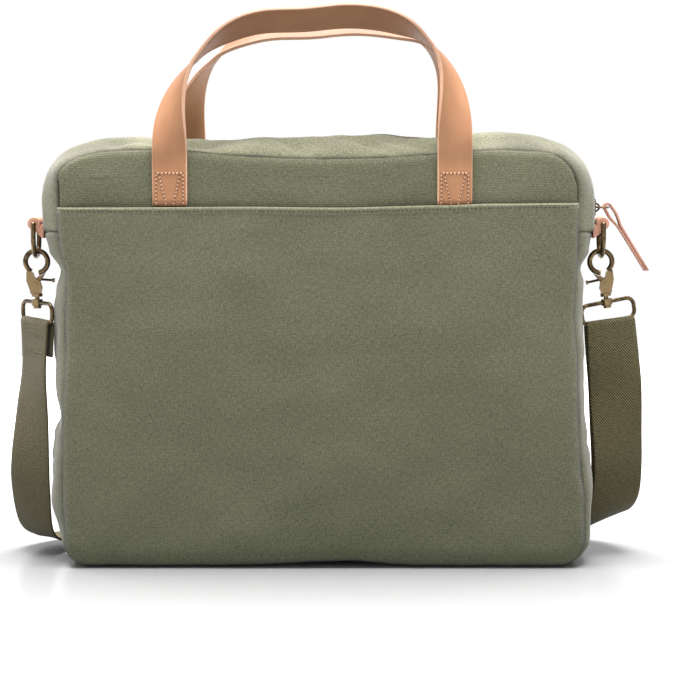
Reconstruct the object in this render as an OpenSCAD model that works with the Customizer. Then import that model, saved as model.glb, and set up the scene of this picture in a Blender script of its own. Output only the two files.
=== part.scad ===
// Canvas laptop sleeve built as a slim carrying case: soft shell, slip pocket,
// zipped lid, two leather handles and a clip-on webbing shoulder strap.
// Origin: centre of the flat base. +X right, +Y to the back, +Z up. Millimetres.

/* [Shell] */
// Half width of the front and back panels, to their seams
panel_half_w = 187.5; // [180:1:195]
// Half depth between the inner faces of the front and back panels
half_depth = 31.5; // [28:0.5:36]
// Half width of the zipped upper gusset at its crest
crest_half_w = 201; // [198:1:204]
// Height of the zipped upper gusset at its crest
crest_z = 316; // [312:1:320]
// Radius of the crest at the two top corners
crest_corner_r = 52; // [48:1:56]
// Half width of the lower gusset at its crest
lower_half_w = 190; // [189:0.5:190]
// Radius of the two bottom corners
base_corner_r = 18; // [17:1:20]
// Height of the seam between the lower gusset and the zipped gusset
gusset_seam_z = 244; // [240:1:246]
// Thickness of the lined canvas of a gusset
gusset_t = 2.4; // [2:0.1:3]
// Thickness of the outer canvas of a panel
canvas_t = 1.5; // [1:0.1:2]
// Thickness of the foam behind a panel
foam_t = 4; // [3:0.5:5]

/* [Pocket] */
// Height of the open edge of the front pocket
pocket_z = 265; // [262:1:268]
// Width of the hem along that edge
hem_h = 12; // [10:1:16]
// Free gap inside the empty pocket
pocket_gap = 5.2; // [4.8:0.1:6]
// Thickness of the pocket's outer panel
pocket_t = 2.2; // [1.8:0.1:2.6]

/* [Handles] */
// Half distance between the centre lines of a handle's legs
handle_half_w = 102; // [98:1:106]
// Sideways place of the handles' centre
handle_x = -4; // [-6:1:0]
// Width of the leather band
band_w = 25; // [22:1:26]
// Thickness of the leather band
band_t = 3; // [2.4:0.1:3.4]
// Height of the top of the stitched ends
patch_z = 288.5; // [286:0.5:292]
// Height of the centre line at the top of the front handle
handle_top_z = 400; // [396:1:406]
// How much lower the rear handle stands
rear_drop = 5; // [4:1:8]

/* [Shoulder strap] */
// Width of the webbing
webbing_w = 38; // [36:1:38]
// Thickness of the webbing
webbing_t = 1.8; // [1.6:0.1:2]
// Turn of the left loop about the upright axis, in degrees
left_turn = 52; // [48:1:56]
// Turn of the right loop about the upright axis, in degrees
right_turn = 20; // [15:1:25]
// Outward lean of the right hook, in degrees
right_lean = 9; // [8:0.5:10]

/* [Hardware] */
// Distance of the side rings from the middle plane
ring_x = 207.5; // [207:0.5:208]
// Height of the centre of a side ring's arc
ring_z = 239; // [238:0.5:240]
// Radius of a side ring's arc, to the middle of its wire
ring_r = 14; // [13.9:0.05:14.1]
// Radius of the side rings' wire
ring_wire_r = 1.8; // [1.7:0.05:1.85]
// Radius of a hook's eye, to the middle of its wire
eye_r = 8.2; // [8.1:0.05:8.3]
// Radius of the eye's wire
eye_wire_r = 1.9; // [1.8:0.05:1.95]
// Height of the zip slider's middle
slider_z = 261; // [258:1:262]

/* [Hidden] */
$fn = 48;
front_y = -half_depth - canvas_t;
back_y = half_depth + canvas_t;
pocket_in_y = front_y - pocket_gap;
pocket_out_y = pocket_in_y - pocket_t;
bulge = crest_half_w - panel_half_w;
panel_top_z = crest_z - bulge;
panel_corner_r = crest_corner_r - bulge;
panel_base_z = 0.8;
arc_x = crest_half_w - crest_corner_r;
arc_z = crest_z - crest_corner_r;
lid_hinge_z = 264;
lid_split = 1;
dome_r = (half_depth * half_depth + bulge * bulge) / (2 * bulge);
zip_half_gap = 3.6;
teeth_r = crest_corner_r - 3.1;
teeth_t = 2.1;
tape_t = 0.9;
lining_t = 0.6;
padding_inset = 6;
board_half_l = 162;
divider_y = 2;
divider_t = 6;
handle_foot_y = front_y - band_t / 2;
handle_lean = 23.4;
arch_base_z = 311;
lean_base_z = 304;
handle_pivot_z = patch_z + 2.5;
arch_power = 2.3;
right_power = 3.1;
arch_dip = 3.6;
dip_x = -10;
dip_w = 26;
rear_x = handle_x + 5;
rear_half_w = handle_half_w - 3.5;
top_twist = 130;
rings = 44;
hook_drop = 18;
loop_w = 46;
loop_h = 17.6;
loop_corner = 5.5;
loop_wire_r = 1.5;
boss_z = ring_z - 48;
boss_r = 4;
boss_h = 4.6;
shank_r = 1.7;
run_clear = 0.08;
rivet_r = 1.2;
rivet_x = 1.5;
rivet_drop = 17;
eye_z = ring_z - hook_drop;
layer_gap = 2 * loop_wire_r + webbing_t + 0.4;
bail_r = 2.8;
fine_wire_r = 0.6;
zip_ring_l = 8;
zip_ring_w = 13;
slider_x = crest_half_w - 0.8;
pull_w = 10;
pull_l = 55;
pull_angle = -58;
adjuster_x = 80;
floor_run_z = 4;

// The strap's middle line from the right loop to the left one, chosen by hand:
// place, then the direction across the webbing
STRAP = [
    [[215.4, -2.4, 175.6], [0.94, 0.34, 0]],
    [[217.6, -1.6, 151], [0.97, 0.24, 0]],
    [[219.8, 0, 127], [0.99, 0.14, 0]],
    [[221.6, 0, 92], [0.95, 0.3, 0]],
    [[222.6, 2, 66], [0.93, 0.36, 0]],
    [[221.6, 9, 44], [0.93, 0.34, 0.05]],
    [[218, 24, 28], [0.88, 0.42, 0.15]],
    [[209, 43, 18], [0.72, 0.63, 0.25]],
    [[186, 59, 9], [0.45, 0.87, 0.2]],
    [[150, 64, 5], [0.15, 0.98, 0.05]],
    [[115, 64, 4], [0, 1, 0]],
    [[0, 64, 4], [0, 1, 0]],
    [[-115, 64, 4], [0, 1, 0]],
    [[-155, 62, 5], [-0.15, 0.98, 0.05]],
    [[-187.5, 55.5, 9], [-0.45, 0.87, 0.2]],
    [[-209.5, 36, 15], [-0.66, 0.72, 0.25]],
    [[-215, 16, 30], [-0.74, 0.66, 0.1]],
    [[-215.5, 5, 52], [-0.79, 0.61, 0]],
    [[-214.5, 0, 76], [-0.79, 0.61, 0]],
    [[-212.5, 0, 110], [-0.68, 0.73, 0]],
    [[-210.6, -0.6, 142], [-0.55, 0.83, 0]],
    [[-209.8, -1.2, 176], [-0.61, 0.79, 0]]
];

// ---- shared curves and sections ----

function unit(v) = v / norm(v);
function ease(t) = t <= 0 ? 0 : t >= 1 ? 1 : t * t * (3 - 2 * t);
function spline(a, b, c, d, t) =
    (2 * b + (c - a) * t + (2 * a - 5 * b + 4 * c - d) * t * t
    + (3 * b - a - 3 * c + d) * t * t * t) / 2;
function held(list, i) = list[max(0, min(len(list) - 1, i))];
function along(col, s) = let (i = min(floor(s), len(STRAP) - 2), t = s - i)
    spline(held(STRAP, i - 1)[col], held(STRAP, i)[col],
        held(STRAP, i + 1)[col], held(STRAP, i + 2)[col], t);
function strap_dir(s) = unit(along(0, min(s + 0.02, len(STRAP) - 1)) - along(0, max(s - 0.02, 0)));
function strap_across(s) = let (u = along(1, s), d = strap_dir(s)) unit(u - d * (u * d));
function strap_inner(s) = cross(strap_across(s), strap_dir(s));

// A closed band: each frame is [centre, half width vector, half thickness vector]
module band(frames) {
    n = len(frames);
    points = [for (f = frames) each [
        f[0] - f[1] - f[2], f[0] + f[1] - f[2], f[0] + f[1] + f[2], f[0] - f[1] + f[2]]];
    sides = [for (i = [0:n - 2], k = [0:3])
        let (a = 4 * i + k, b = 4 * i + (k + 1) % 4) each [[a, b, b + 4], [a, b + 4, a + 4]]];
    last = 4 * n - 4;
    ends = [[2, 1, 0], [3, 2, 0], [last, last + 1, last + 2], [last, last + 2, last + 3]];
    polyhedron(points, concat(sides, ends));
}

module webbing(from, to, offset, step = 0.34) {
    n = ceil((to - from) / step);
    band([for (i = [0:n]) let (s = from + (to - from) * i / n, v = strap_inner(s))
        [along(0, s) + v * offset, strap_across(s) * webbing_w / 2, v * webbing_t / 2]]);
}

// Outline of the panels, drawn in X and Z
module panel_outline(inset = 0) {
    w = panel_half_w - inset;
    low = panel_base_z + inset;
    top = panel_top_z - inset;
    rt = panel_corner_r - inset;
    rb = base_corner_r - inset;
    union() {
        translate([-w + rb, low]) square([2 * (w - rb), top - low - rt]);
        translate([-w + rt, low + rb]) square([2 * (w - rt), top - low - rb]);
        translate([-w, low + rb]) square([2 * w, top - low - rb - rt]);
        for (s = [-1, 1]) {
            translate([s * (w - rt), top - rt]) circle(rt);
            translate([s * (w - rb), low + rb]) circle(rb);
        }
    }
}

module upright(y0, thickness) {
    translate([0, y0 + thickness, 0]) rotate([90, 0, 0]) linear_extrude(thickness) children();
}

module below(z) {
    intersection() {
        children();
        translate([-300, -10]) square([600, z + 10]);
    }
}

module above(z) {
    intersection() {
        children();
        translate([-300, z]) square([600, 400]);
    }
}

// ---- panels ----

module front_panel() {
    color("#76785f") upright(front_y, canvas_t) below(lid_hinge_z - lid_split) panel_outline();
}

module front_padding() {
    color("#d8d6cc") upright(-half_depth, foam_t)
        below(lid_hinge_z - lid_split) panel_outline(padding_inset);
}

module front_lining() {
    color("#3a3a34") upright(-half_depth + foam_t, lining_t)
        below(lid_hinge_z - lid_split) panel_outline(padding_inset);
}

module back_panel() {
    color("#76785f") upright(half_depth, canvas_t) panel_outline();
}

module back_padding() {
    color("#d8d6cc") upright(half_depth - foam_t, foam_t) panel_outline(padding_inset);
}

module back_lining() {
    color("#3a3a34") upright(half_depth - foam_t - lining_t, lining_t) panel_outline(padding_inset);
}

module front_upper_panel() {
    color("#76785f") upright(front_y, canvas_t) above(lid_hinge_z + lid_split) panel_outline();
}

// ---- gussets ----

// Plan of the lower shell: flat front and back, bowed sides
module lower_plan(inset) {
    bow = lower_half_w - panel_half_w;
    r = (half_depth * half_depth + bow * bow) / (2 * bow);
    intersection() {
        square([2 * lower_half_w, 2 * half_depth], center = true);
        union() {
            square([2 * (panel_half_w - inset), 2 * half_depth], center = true);
            for (s = [-1, 1]) translate([s * (lower_half_w - r), 0]) circle(r - inset, $fn = 96);
        }
        square([2 * (lower_half_w - inset), 2 * half_depth], center = true);
    }
}

module lower_front(inset) {
    w = lower_half_w - inset;
    r = base_corner_r - inset;
    union() {
        translate([-w + r, inset]) square([2 * (w - r), 300]);
        translate([-w, base_corner_r]) square([2 * w, 300]);
        for (s = [-1, 1]) translate([s * (w - r), base_corner_r]) circle(r);
    }
}

module lower_body(inset, height, extra) {
    intersection() {
        linear_extrude(height) lower_plan(inset);
        upright(-half_depth - extra, 2 * (half_depth + extra)) lower_front(inset);
    }
}

module lower_gusset() {
    color("#6f715a") difference() {
        lower_body(0, gusset_seam_z, 0);
        lower_body(gusset_t, gusset_seam_z + 1, 0);
    }
}

module base_board() {
    color("#2c2c2a") translate([-board_half_l, -24, gusset_t]) cube([2 * board_half_l, 48, 2]);
}

module laptop_divider() {
    color("#45463d") upright(divider_y - divider_t / 2, divider_t) below(250) panel_outline(12);
}

// Half section of the domed upper gusset: distance outward, then Y
module dome_section(y0, y1) {
    intersection() {
        difference() {
            translate([crest_corner_r - dome_r, 0]) circle(dome_r, $fn = 120);
            translate([crest_corner_r - dome_r, 0]) circle(dome_r - gusset_t, $fn = 120);
        }
        translate([20, y0]) square([60, y1 - y0]);
    }
}

module strip_section(r0, t, y0, y1) {
    translate([r0, y0]) square([t, y1 - y0]);
}

// Carries a section up one side from z0, over the top and down the other side
module over_the_top(z0) {
    for (s = [0, 1]) mirror([s, 0, 0]) {
        translate([arc_x, 0, z0]) linear_extrude(arc_z - z0) children();
        translate([arc_x, 0, arc_z]) rotate([90, 0, 0]) rotate_extrude(angle = 90)
            mirror([0, 1]) children();
    }
    translate([-arc_x, 0, arc_z]) rotate([90, 0, 90]) linear_extrude(2 * arc_x) turned() children();
}

module turned() {
    rotate(90) mirror([0, 1]) children();
}

module side_posts(z0, z1) {
    for (s = [0, 1]) mirror([s, 0, 0])
        translate([arc_x, 0, z0]) linear_extrude(z1 - z0) children();
}

module rear_zip_gusset() {
    color("#7d7f66") over_the_top(gusset_seam_z) dome_section(zip_half_gap, half_depth);
}

module front_zip_gusset() {
    color("#7d7f66") intersection() {
        over_the_top(gusset_seam_z) dome_section(-half_depth, -zip_half_gap);
        translate([-300, -100, lid_hinge_z + lid_split]) cube([600, 200, 100]);
    }
}

module gusset_ends() {
    color("#7d7f66") side_posts(gusset_seam_z, lid_hinge_z - lid_split)
        dome_section(-half_depth, -zip_half_gap);
}

module rear_zip_tape() {
    color("#3b3026") over_the_top(gusset_seam_z + 1)
        strip_section(teeth_r - tape_t, tape_t, 0.3, 5.5);
}

module rear_zip_teeth() {
    color("#4a3826") over_the_top(gusset_seam_z + 3)
        strip_section(teeth_r, teeth_t, 0.15, 3.2);
}

module front_zip_tape() {
    color("#3b3026") intersection() {
        over_the_top(gusset_seam_z) strip_section(teeth_r - tape_t, tape_t, -5.5, -0.3);
        translate([-300, -100, lid_hinge_z + lid_split]) cube([600, 200, 100]);
    }
}

module front_zip_teeth() {
    color("#4a3826") intersection() {
        over_the_top(gusset_seam_z) strip_section(teeth_r, teeth_t, -3.2, -0.15);
        translate([-300, -100, lid_hinge_z + lid_split]) cube([600, 200, 100]);
    }
}

module zip_ends() {
    color("#4a3826") side_posts(gusset_seam_z + 3, lid_hinge_z - lid_split)
        strip_section(teeth_r - tape_t, tape_t + teeth_t, -3.2, -0.35);
}

// ---- pocket ----

module pocket_panel() {
    color("#76785f") union() {
        upright(pocket_out_y, pocket_t) below(pocket_z - hem_h) panel_outline();
        upright(pocket_out_y, pocket_t + pocket_gap) difference() {
            below(pocket_z - hem_h) panel_outline();
            panel_outline(2.5);
        }
    }
}

module pocket_hem() {
    color("#808268") upright(pocket_out_y, pocket_t + 0.2)
        above(pocket_z - hem_h) below(pocket_z) panel_outline();
}

// ---- handles ----

module handle_patches(y0, cx, half) {
    for (s = [-1, 1]) translate([cx + s * half - band_w / 2, y0, pocket_z + 1.4])
        cube([band_w, band_t, patch_z - pocket_z - 1.4]);
}

module front_handle_ends() {
    color("#c8916f") handle_patches(front_y - band_t, handle_x, handle_half_w);
}

module rear_handle_ends() {
    color("#c8916f") handle_patches(back_y, rear_x, rear_half_w);
}

// One handle, as frames along the leather: side -1 is the front one
function arch_xz(a, top) = let (
    c = cos(a), s = sin(a),
    p = c > 0 ? arch_power : right_power,
    x = -sign(c) * handle_half_w * pow(abs(c), 2 / p))
    [x, arch_base_z + (top - arch_base_z) * pow(abs(s), 2 / p)
        - arch_dip * exp(-pow((x - dip_x) / dip_w, 2))];
function handle_xz(i, top) = i < 2 ? [-handle_half_w, i == 0 ? handle_pivot_z : lean_base_z]
    : i > rings - 2 ? [handle_half_w, i == rings ? handle_pivot_z : lean_base_z]
    : arch_xz(180 * (i - 2) / (rings - 4), top);
function twist_at(i, z, top) = let (
    left = i < rings / 2,
    z0 = left ? lean_base_z : 312,
    z1 = left ? 367 : 378,
    k = (z - z0) / (z1 - z0))
    z < z1 ? 90 * max(0, k) : 90 + (top_twist - 90) * ease((z - z1) / (top - z1));
function handle_frame(i, top, side, cx, half) = let (
    p = handle_xz(i, top),
    q = handle_xz(min(i + 1, rings), top) - handle_xz(max(i - 1, 0), top),
    d = unit([q[0], 0, q[1]]),
    inward = [d[2], 0, -d[0]],
    z = p[1],
    y = abs(handle_foot_y) - handle_lean * ease((z - lean_base_z) / (top - lean_base_z)),
    a = twist_at(i, z, top),
    across = inward * cos(a) + [0, side * sin(a), 0],
    flat = cross(across, d))
    [[cx + p[0] * half / handle_half_w, side * y, z], across * band_w / 2, flat * band_t / 2];

module handle(top, side, cx, half) {
    union() {
        band([for (i = [0:rings]) handle_frame(i, top, side, cx, half)]);
        for (s = [-1, 1])
            translate([cx + s * half, side * abs(handle_foot_y), handle_pivot_z])
                rotate([0, 90, 0]) cylinder(h = band_w, r = band_t / 2, center = true);
    }
}

module front_handle() {
    color("#c8916f") handle(handle_top_z, -1, handle_x, handle_half_w);
}

module rear_handle() {
    color("#c8916f") translate([0, 1, 0]) handle(handle_top_z - rear_drop, 1, rear_x, rear_half_w);
}

// ---- side rings, hooks and loops: drawn on the right, mirrored to the left ----

module left_side() {
    mirror([1, 0, 0]) children();
}

module wire(length, r) {
    cylinder(h = length, r = r, center = true);
}

module side_tab() {
    color("#c8916f") translate([ring_x, 0, ring_z + 10]) rotate([90, 0, 0])
        translate([0, 0, -11]) linear_extrude(22) difference() {
            union() {
                circle(4.2);
                polygon([[-3.6, 2.2], [-6.2, 0], [-6.2, -8], [-4.4, -8], [0, -4.2]]);
            }
            circle(ring_wire_r + 0.15);
        }
}

module d_ring() {
    color("#7a6446") translate([ring_x, 0, ring_z]) rotate([0, 90, 0]) rotate([0, 0, 90]) union() {
        rotate_extrude(angle = -180) translate([ring_r, 0]) circle(ring_wire_r);
        for (s = [-1, 1]) translate([s * ring_r, 5, 0]) rotate([90, 0, 0]) wire(10, ring_wire_r);
        for (s = [-1, 1]) translate([s * ring_r, 10, 0]) sphere(ring_wire_r);
        translate([0, 10, 0]) rotate([0, 90, 0]) wire(2 * ring_r, ring_wire_r);
    }
}

// Places a hook drawn around its eye's centre; lean turns it outward
module at_hook(lean) {
    translate([ring_x, 0, eye_z]) rotate([0, -lean, 0]) children();
}

module hook() {
    color("#7a6446") union() {
        rotate([90, 0, 0]) rotate([0, 0, -62]) rotate_extrude(angle = 322)
            translate([eye_r, 0]) circle(eye_wire_r);
        difference() {
            translate([0, 2.5, 0]) rotate([90, 0, 0]) linear_extrude(5)
                polygon([[2.6, -8.4], [4.9, -6.1], [7.4, -7.2], [7.4, -14], [5, -21],
                    [4.6, -23.5], [-3.2, -23.5], [-3.8, -19.5], [-2.4, -14.5], [1.6, -11.6]]);
            translate([rivet_x, 1.6, -rivet_drop]) rotate([90, 0, 0]) cylinder(h = 3.2, r = 3.1);
            translate([0, 1.6, 0]) rotate([90, 0, 0]) linear_extrude(3.2)
                polygon([[rivet_x + 1.5, -14], [1.2, -10], [-12, -8], [-12, -20], [rivet_x - 1, -20]]);
            translate([rivet_x, 4, -rivet_drop]) rotate([90, 0, 0]) cylinder(h = 8, r = rivet_r);
        }
        translate([0, 0, -25.6]) cylinder(h = 2.2, r = 4);
    }
}

module hook_shank() {
    top = -25.6;
    foot = boss_z - eye_z - boss_h / 2 - 0.4;
    color("#7a6446") union() {
        translate([0, 0, foot]) cylinder(h = top - foot, r = shank_r);
        translate([0, 0, foot - 1.6]) cylinder(h = 1.6, r = 2.9);
    }
}

module hook_rivet() {
    color("#a98a5c") translate([rivet_x, 0, -rivet_drop]) rotate([90, 0, 0]) union() {
        cylinder(h = 5, r = rivet_r, center = true);
        for (s = [-1, 1]) translate([0, 0, s * 2.9]) cylinder(h = 0.8, r = 2.1, center = true);
    }
}

module trigger() {
    color("#5f4d36") union() {
        translate([rivet_x, 0.6, -rivet_drop]) rotate([90, 0, 0]) linear_extrude(2) difference() {
            union() {
                circle(2.7);
                polygon([[-2.6, -0.6], [-8.5, 9.3], [-6.65, 8], [-4.7, 7.1], [-2.9, 6.6], [1.2, 2.4]]);
            }
            circle(rivet_r + run_clear);
        }
        translate([rivet_x - 4.6, 0, -rivet_drop + 4]) rotate([0, -94, 0]) union() {
            cylinder(h = 8.4, r = 0.9);
            translate([0, 0, 8.4]) cylinder(h = 1.6, r = 1.5);
        }
    }
}

// The trigger's torsion spring, coiled round the rivet beside the trigger
module hook_spring() {
    color("#8f8f8a") translate([rivet_x, 1.45, -rivet_drop]) rotate([90, 0, 0]) difference() {
        cylinder(h = 0.7, r = 2.4);
        translate([0, 0, -1]) cylinder(h = 3, r = rivet_r + 0.15);
    }
}

module strap_loop(turn) {
    w = loop_w / 2 - loop_wire_r;
    h = loop_h / 2 - loop_wire_r;
    color("#7a6446") translate([0, 0, boss_z - eye_z]) rotate([0, 0, turn]) difference() {
        union() {
            translate([0, 0, -h]) rotate([90, 0, 0]) union() {
                for (z = [-h, h]) translate([0, z, 0]) rotate([0, 90, 0])
                    wire(2 * (w - loop_corner), loop_wire_r);
                for (x = [-w, w]) translate([x, 0, 0]) rotate([90, 0, 0])
                    wire(2 * (h - loop_corner), loop_wire_r);
                for (x = [-1, 1], z = [-1, 1]) translate([x * (w - loop_corner), z * (h - loop_corner), 0])
                    rotate([0, 0, x > 0 ? (z > 0 ? 0 : 270) : (z > 0 ? 90 : 180)])
                        rotate_extrude(angle = 90) translate([loop_corner, 0]) circle(loop_wire_r);
            }
            cylinder(h = boss_h, r = boss_r, center = true);
        }
        cylinder(h = boss_h + 2, r = shank_r + run_clear, center = true);
    }
}

module left_side_tab() {
    left_side() side_tab();
}

module right_side_tab() {
    side_tab();
}

module left_d_ring() {
    left_side() d_ring();
}

module right_d_ring() {
    d_ring();
}

module left_hook() {
    left_side() at_hook(0) hook();
}

module right_hook() {
    at_hook(right_lean) hook();
}

module left_hook_shank() {
    left_side() at_hook(0) hook_shank();
}

module right_hook_shank() {
    at_hook(right_lean) hook_shank();
}

module left_hook_rivet() {
    left_side() at_hook(0) hook_rivet();
}

module right_hook_rivet() {
    at_hook(right_lean) hook_rivet();
}

module left_hook_spring() {
    left_side() at_hook(0) hook_spring();
}

module right_hook_spring() {
    at_hook(right_lean) hook_spring();
}

module left_trigger() {
    left_side() at_hook(0) trigger();
}

module right_trigger() {
    at_hook(right_lean) trigger();
}

module left_strap_loop() {
    left_side() at_hook(0) strap_loop(left_turn);
}

module right_strap_loop() {
    at_hook(right_lean) strap_loop(right_turn);
}

// ---- webbing ----

module shoulder_strap() {
    color("#58553f") webbing(0, len(STRAP) - 1, 0);
}

module strap_return_layer() {
    color("#58553f") webbing(0, 9.6, layer_gap);
}

module strap_tail() {
    color("#58553f") webbing(len(STRAP) - 1.72, len(STRAP) - 1, layer_gap);
}

// ---- adjuster, on the run of webbing behind the case ----

module strap_adjuster() {
    y = STRAP[11][0][1];
    z = floor_run_z + webbing_t / 2 + 0.5;
    color("#7a6446") translate([adjuster_x, y, z]) linear_extrude(2.6) difference() {
        square([26, 46], center = true);
        for (s = [-1, 1]) translate([s * 6, 0]) square([8, 40], center = true);
    }
}

module adjuster_fold() {
    y = STRAP[11][0][1];
    z = floor_run_z + webbing_t / 2 + 3.4;
    color("#58553f") translate([adjuster_x - 3, y - webbing_w / 2, z]) cube([22, webbing_w, webbing_t]);
}

// ---- zip slider, its ring and its leather pull ----

module zip_slider() {
    color("#4c3d2c") translate([slider_x, 0, slider_z]) union() {
        translate([0.9, 0, 0]) rotate([0, 90, 0]) linear_extrude(1.8)
            polygon([[-6, -2.6], [-4, -3.4], [4, -3.2], [6, -2.2],
                [6, 2.2], [4, 3.2], [-4, 3.4], [-6, 2.6]]);
        translate([2.7, 0, 0]) rotate([90, 0, 0]) rotate([0, 0, -90]) rotate_extrude(angle = 180)
            translate([bail_r, 0]) circle(fine_wire_r + 0.1);
    }
}

module zip_ring() {
    w = zip_ring_w / 2;
    l = zip_ring_l / 2;
    c = 2;
    color("#4c3d2c") translate([slider_x + 3.7 + l, 0, slider_z]) union() {
        for (x = [-l, l]) translate([x, 0, 0]) rotate([90, 0, 0]) wire(2 * (w - c), fine_wire_r);
        for (y = [-w, w]) translate([0, y, 0]) rotate([0, 90, 0]) wire(2 * (l - c), fine_wire_r);
        for (x = [-1, 1], y = [-1, 1]) translate([x * (l - c), y * (w - c), 0])
            rotate([0, 0, x > 0 ? (y > 0 ? 0 : 270) : (y > 0 ? 90 : 180)])
                rotate_extrude(angle = 90) translate([c, 0]) circle(fine_wire_r);
    }
}

module zip_pull() {
    color("#c8916f") translate([slider_x + 3.7 + zip_ring_l, 0, slider_z]) rotate([0, -pull_angle, 0])
        rotate([90, 0, 0]) translate([0, 0, -pull_w / 2]) linear_extrude(pull_w) difference() {
            union() {
                circle(2.9);
                polygon([[0, 2.5], [18, 1.9], [pull_l, 1.9], [pull_l, -1.9], [18, -1.9], [0, -2.5]]);
            }
            circle(fine_wire_r + 0.3);
        }
}

front_panel();
front_padding();
front_lining();
back_panel();
back_padding();
back_lining();
lower_gusset();
base_board();
laptop_divider();
rear_zip_gusset();
gusset_ends();
rear_zip_tape();
rear_zip_teeth();
zip_ends();
pocket_panel();
pocket_hem();
front_upper_panel();
front_zip_gusset();
front_zip_tape();
front_zip_teeth();
front_handle_ends();
rear_handle_ends();
front_handle();
rear_handle();
left_side_tab();
right_side_tab();
left_d_ring();
right_d_ring();
left_hook();
right_hook();
left_hook_shank();
right_hook_shank();
left_hook_rivet();
right_hook_rivet();
left_hook_spring();
right_hook_spring();
left_trigger();
right_trigger();
left_strap_loop();
right_strap_loop();
shoulder_strap();
strap_return_layer();
strap_tail();
strap_adjuster();
adjuster_fold();
zip_slider();
zip_ring();
zip_pull();
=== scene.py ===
# Looks of a canvas laptop case: cloth shell, leather handles, webbing strap and antique brass fittings.
from math import ceil, copysign, cos, dist, exp, hypot, pi, radians, sin, sqrt

import bmesh
import bpy
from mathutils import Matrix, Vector, noise


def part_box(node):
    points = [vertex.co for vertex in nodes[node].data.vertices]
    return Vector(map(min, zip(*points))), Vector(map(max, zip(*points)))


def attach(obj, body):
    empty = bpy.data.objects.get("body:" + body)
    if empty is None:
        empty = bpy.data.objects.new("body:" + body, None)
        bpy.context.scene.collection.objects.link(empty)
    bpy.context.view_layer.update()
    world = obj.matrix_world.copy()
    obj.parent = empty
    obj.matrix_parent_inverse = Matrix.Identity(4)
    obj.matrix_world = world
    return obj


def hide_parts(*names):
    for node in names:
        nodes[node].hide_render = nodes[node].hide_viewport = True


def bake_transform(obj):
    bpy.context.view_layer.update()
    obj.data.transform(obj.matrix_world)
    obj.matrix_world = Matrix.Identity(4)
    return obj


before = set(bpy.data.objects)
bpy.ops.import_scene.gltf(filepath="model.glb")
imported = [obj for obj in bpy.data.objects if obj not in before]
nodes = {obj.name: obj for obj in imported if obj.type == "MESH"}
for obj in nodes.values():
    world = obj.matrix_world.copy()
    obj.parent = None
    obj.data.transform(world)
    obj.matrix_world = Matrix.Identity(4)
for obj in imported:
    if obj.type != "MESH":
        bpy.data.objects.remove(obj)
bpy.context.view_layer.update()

MM = 0.001

# ---- places taken from the frame, in millimetres ----


def box_mm(node):
    low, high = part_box(node)
    return [v / MM for v in low], [v / MM for v in high]


PANEL_LOW, PANEL_HIGH = box_mm("back_panel")
GUSSET_LOW, GUSSET_HIGH = box_mm("rear_zip_gusset")
POCKET_FACE = box_mm("pocket_panel")[0][1] + 1.2
HEM_TOP = box_mm("pocket_hem")[1][2]
HEM_LINE = HEM_TOP - 2.6
PANEL_W = PANEL_HIGH[0]
PANEL_TOP = PANEL_HIGH[2]
CREST_Z = GUSSET_HIGH[2]
CREST_W = round(GUSSET_HIGH[0])
SEAM_Z = GUSSET_LOW[2]
HALF_D = PANEL_LOW[1]
FRONT_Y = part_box("front_panel")[0].y / MM
BACK_Y = PANEL_HIGH[1]
BULGE = CREST_W - PANEL_W
CORNER_R = 52.0
ARC_X = CREST_W - CORNER_R
ARC_Z = CREST_Z - CORNER_R
SEAM_R = CORNER_R - BULGE
BASE_R = 17.0  # the panels' round bottom corners
DOME_R = (HALF_D ** 2 + BULGE ** 2) / (2 * BULGE)
LID_Z = 264.0  # where the upper front folds
ZIP_GAP = 3.6
BASE_Z = 0.8  # the panels' lower seam
POCKET_SEED = 31.0
SEAM_ROWS = (0.5, 1.0, 1.7, 2.6)  # rows crowded beside a seam


# ---- node helpers for materials ----


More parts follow.
